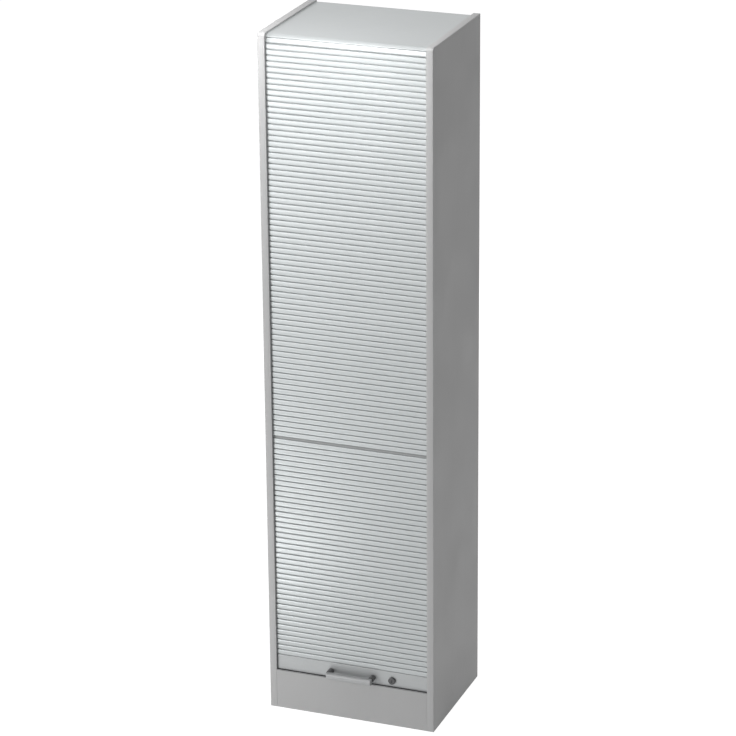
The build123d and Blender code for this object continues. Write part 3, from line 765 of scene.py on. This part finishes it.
def buildCurtain():
    slat = newObject("slatPattern", prism("slatPattern", slatSection(curtain), curtain["slatHalfLength"]))
    face = -curtain["slatThickness"] + curtain["shoulder"][1]
    # Painted shade: the slats darken towards the back of each gap.
    storeDepth(slat.data, lambda y: max(0.0, min(1.0, (y - face) / curtain["gapDepth"])))
    tree = buildSlatTree()
    lowerEnd = curtain["lowerStart"] + curtain["lowerCount"] * curtain["pitch"]
    upperStart = lowerEnd + curtain["stripHeight"]
    runs = {
        "lowerSlats": (straightJoints(curtain["lowerStart"], curtain["lowerCount"]), "lower_slats"),
        "upperSlats": (straightJoints(upperStart, curtain["upperCount"]), "upper_slats"),
        "overTopSlats": (overTopJoints(), "over_top_slats"),
    }
    pieces = {}
    for name, (joints, node) in runs.items():
        values = {"Slat": slat, "Finish": finishes["slats"]}
        pieces[name] = grow(name, jointLine(name, joints), tree, values)
        fitPiece(pieces[name], "carcass", "slats", node)
    bpy.data.objects.remove(slat)
    pieces["joiningStrip"] = buildStrip(lowerEnd, upperStart)
    frontLine = straightJoints(curtain["lowerStart"], 0) + overTopJoints()[:1]
    pieces["curtainBacking"] = buildBacking("curtainBacking", frontLine)
    fitPiece(pieces["curtainBacking"], "carcass", "backing", "curtain_backing")
    pieces["backingOverTop"] = buildBacking("backingOverTop", overTopJoints())
    fitPiece(pieces["backingOverTop"], "carcass", "backing", "backing_over_top")
    return pieces


def buildStrip(bottom, top):
    # Flat profile that joins the two runs of slats, set back between them, with a shallow groove.
    thick = curtain["stripThickness"]
    rib = curtain["stripRib"]
    half = (top - bottom) / 2 - curtain["stripGap"]
    lip, foot = curtain["stripGroove"]
    section = [(half, 0.0), (half, thick - rib), (half - rib, thick)]
    section += [(half * lip, thick), (half * foot, thick - rib)]
    section += [(-up, out) for up, out in reversed(section)]
    middle = (top + bottom) / 2
    section = [(middle + up, out - curtain["slatBack"]) for up, out in section]
    piece = newObject("joiningStrip", prism("joiningStrip", section, curtain["slatHalfLength"]))
    piece.data.materials.append(finishes["strip"])
    fitPiece(piece, "carcass", "dark_plastic", "joining_strip")
    return piece


def buildBacking(name, line):
    # Canvas behind the slats, as thin as it is cut, along a line of joints.
    thick = curtain["backingThickness"]
    inner = []
    for index, (_, y, z) in enumerate(line):
        before = line[max(index - 1, 0)]
        after = line[min(index + 1, len(line) - 1)]
        dy, dz = after[1] - before[1], after[2] - before[2]
        length = hypot(dy, dz)
        inner.append((z - thick * dy / length, -(y + thick * dz / length)))
    outline = [(z, -y) for _, y, z in line] + inner[::-1]
    piece = newObject(name, prism(name, outline, curtain["backingHalfWidth"]))
    length = sum(hypot(b[1] - a[1], b[2] - a[2]) for a, b in zip(line, line[1:]))
    return piece


def rollUp(piece):
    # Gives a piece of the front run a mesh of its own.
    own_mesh(piece)


curtainPieces = buildCurtain()
for pieceName in ("lowerSlats", "upperSlats", "joiningStrip", "curtainBacking"):
    rollUp(curtainPieces[pieceName])
print("curtain ready")


band = {
    "height": 1.885,
    "depth": 0.36,
    "inner": 0.216,
    "outer": 0.235,
    "thickness": 0.002,
    "corner": 0.012,
    "cornerSteps": 8,
    "round": 0.0011,
}


def bandPath():
    # Inset and height along the outside of the band, with the outward direction at each point.
    corner = band["corner"]
    path = [((0.0, 0.0), (-1.0, 0.0)), ((0.0, band["height"] - corner), (-1.0, 0.0))]
    for step in range(1, band["cornerSteps"] + 1):
        angle = radians(90 * step / band["cornerSteps"])
        centre = (corner, band["height"] - corner)
        out = (-cos(angle), sin(angle))
        path.append(((centre[0] + corner * out[0], centre[1] + corner * out[1]), out))
    path.append(((band["depth"], band["height"]), (0.0, 1.0)))
    return path


def bandSection():
    # Across the panel's edge: flat against the board, rounded along both outer corners.
    radius = band["round"]
    low, high = band["inner"], band["outer"]
    section = [(low, band["thickness"])]
    section += [(x, -out) for x, out in roundedCorner((low + radius, -radius), radius, 180, 90, 4)]
    section += [(x, -out) for x, out in roundedCorner((high - radius, -radius), radius, 90, 0, 4)]
    return section + [(high, band["thickness"])]


def buildEdgeBand(name, hand, node):
    shape = bmesh.new()
    rings = []
    for (inset, height), (outY, outZ) in bandPath():
        ring = []
        for x, inward in bandSection():
            ring.append(shape.verts.new((hand * x, front + inset - outY * inward, height - outZ * inward)))
        rings.append(ring)
    count = len(rings[0])
    for first, second in zip(rings, rings[1:]):
        for index in range(count):
            after = (index + 1) % count
            shape.faces.new((first[index], first[after], second[after], second[index]))
    shape.faces.new(rings[0])
    shape.faces.new(rings[-1])
    mesh = closeShape(shape, bpy.data.meshes.new(name), sharpAngles["band"])
    fitPiece(newObject(name, mesh), "carcass", "edge", node)


buildEdgeBand("edgeBandLeft", -1, "edge_band_left")
buildEdgeBand("edgeBandRight", 1, "edge_band_right")
print("edge bands ready")


handle = {
    "halfLength": 0.0635,
    "bottom": 0.1175,
    "top": 0.1345,
    "front": front - 0.024,
    "back": front - 0.009,
    "frontRound": 0.006,
    "backRound": 0.0025,
    "endRound": 0.0012,
    "footX": 0.06,
    "footZ": 0.130,
    "footRadius": 0.008,
    "footEnd": front + 0.0075,
    "footRound": 0.0007,
    "footSteps": 40,
}


def gripSection():
    # Up and out from the cabinet: a deep soft front, a tighter back.
    soft, tight = handle["frontRound"], handle["backRound"]
    low, high = handle["bottom"], handle["top"]
    near, far = -handle["back"], -handle["front"]
    section = roundedCorner((high - tight, near + tight), tight, -90, 0, 4)
    section += roundedCorner((high - soft, far - soft), soft, 0, 90, 8)
    section += roundedCorner((low + soft, far - soft), soft, 90, 180, 8)
    section += roundedCorner((low + tight, near + tight), tight, 180, 270, 4)
    return section


def buildHandle():
    grip = newObject("gripBar", prism("gripBar", gripSection(), handle["halfLength"]))
    roundEdges(grip, handle["endRound"], 3, 60)
    fitPiece(grip, "curtain_rail", "grip", "handle_grip")
    radius, soft = handle["footRadius"], handle["footRound"]
    profile = [
        (0.0, handle["back"]),
        (radius - soft, handle["back"]),
        (radius, handle["back"] + soft),
        (radius, handle["footEnd"] - soft),
        (radius - soft * 0.4, handle["footEnd"]),
        (0.0, handle["footEnd"]),
    ]
    sides = (-handle["footX"], handle["footX"])
    feet = [turned("handleFoot", profile, x, handle["footZ"], handle["footSteps"]) for x in sides]
    piece = newObject("handleFeet", joinMeshes("handleFeet", feet))
    fitPiece(piece, "curtain_rail", "dark_plastic", "handle_foot_left", "handle_foot_right")


buildHandle()
print("handle ready")


seal = {
    "bottom": 0.110,
    "top": 0.112,
    "frontInset": 0.0005,
    "lipInset": 0.0032,
    "lipStep": 0.0001,
    "backInset": 0.0185,
    "round": 0.0004,
}


def buildSeal():
    # Grey carrier along the sill with a dark lip behind it, on which the end rail comes down.
    lowCorner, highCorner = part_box("sill_seal")
    near, lip, far = [-(front + seal[inset]) for inset in ("frontInset", "lipInset", "backInset")]
    low, high, soft, step = seal["bottom"], seal["top"], seal["round"], seal["lipStep"]
    section = [(low, far), (high, far), (high, lip - step), (high, lip), (high, near - soft)]
    section += [(high - soft, near), (low, near), (low, lip), (low, lip - step)]
    mesh = prism("sillSeal", section, (highCorner[0] - lowCorner[0]) / 2)
    storeDepth(mesh, lambda y: 1.0 if -y < lip - step / 2 else 0.0)
    fitPiece(newObject("sillSeal", mesh), "carcass", "seal", "sill_seal")


buildSeal()
print("seal ready")


# Nodes of the CAD model that stay, each with the width that its edges are rounded by.
softened = {
    "side_panel_left": 0.0002, "side_panel_right": 0.0003, "plinth_panel": 0.0004, "rear_rail": 0.0004,
    "back_panel": 0.0003, "false_back": 0.0003, "shelf_1": 0.0008, "shelf_2": 0.0008, "shelf_3": 0.0008,
    "shelf_4": 0.0008, "bottom_board": 0.0004, "top_board": 0.0004, "top_cover": 0.00025,
    "end_rail": 0.0003, "rail_glide_left": 0.0004, "rail_glide_right": 0.0004, "lock_housing": 0.0003,
    "lock_core": 0.0001, "lock_hook": 0.0003, "lock_nut": 0.0003, "hook_screw": 0.0003, "foot_caps": 0.0002,
    "foot_sleeves": 0.0003, "foot_1": 0.0003, "foot_2": 0.0003, "foot_3": 0.0003, "foot_4": 0.0003,
    "strike_plate": 0.0002, "cam_fittings": 0.0002, "shelf_pins": 0.0002, "handle_screws": 0.0002,
}


def buildSmoothTree():
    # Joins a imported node's loose triangles and shades them smooth, ready for rounded edges.
    tree = bpy.data.node_groups.new("joinAndSmooth", "GeometryNodeTree")
    tree.interface.new_socket("Mesh", in_out="INPUT", socket_type="NodeSocketGeometry")
    tree.interface.new_socket("Smooth Mesh", in_out="OUTPUT", socket_type="NodeSocketGeometry")
    start = addNode(tree, "NodeGroupInput")
    weld = addNode(tree, "GeometryNodeMergeByDistance", {"Distance": 0.00001})
    smooth = addNode(tree, "GeometryNodeSetShadeSmooth")
    end = addNode(tree, "NodeGroupOutput")
    tree.links.new(start.outputs["Mesh"], weld.inputs["Geometry"])
    tree.links.new(weld.outputs["Geometry"], smooth.inputs["Geometry"])
    tree.links.new(smooth.outputs["Geometry"], end.inputs["Smooth Mesh"])
    return tree


smoothTree = buildSmoothTree()
for nodeName, edgeWidth in softened.items():
    weld = nodes[nodeName].modifiers.new("joinAndSmooth", "NODES")
    weld.node_group = smoothTree
    roundEdges(nodes[nodeName], edgeWidth)
print("nodes softened")
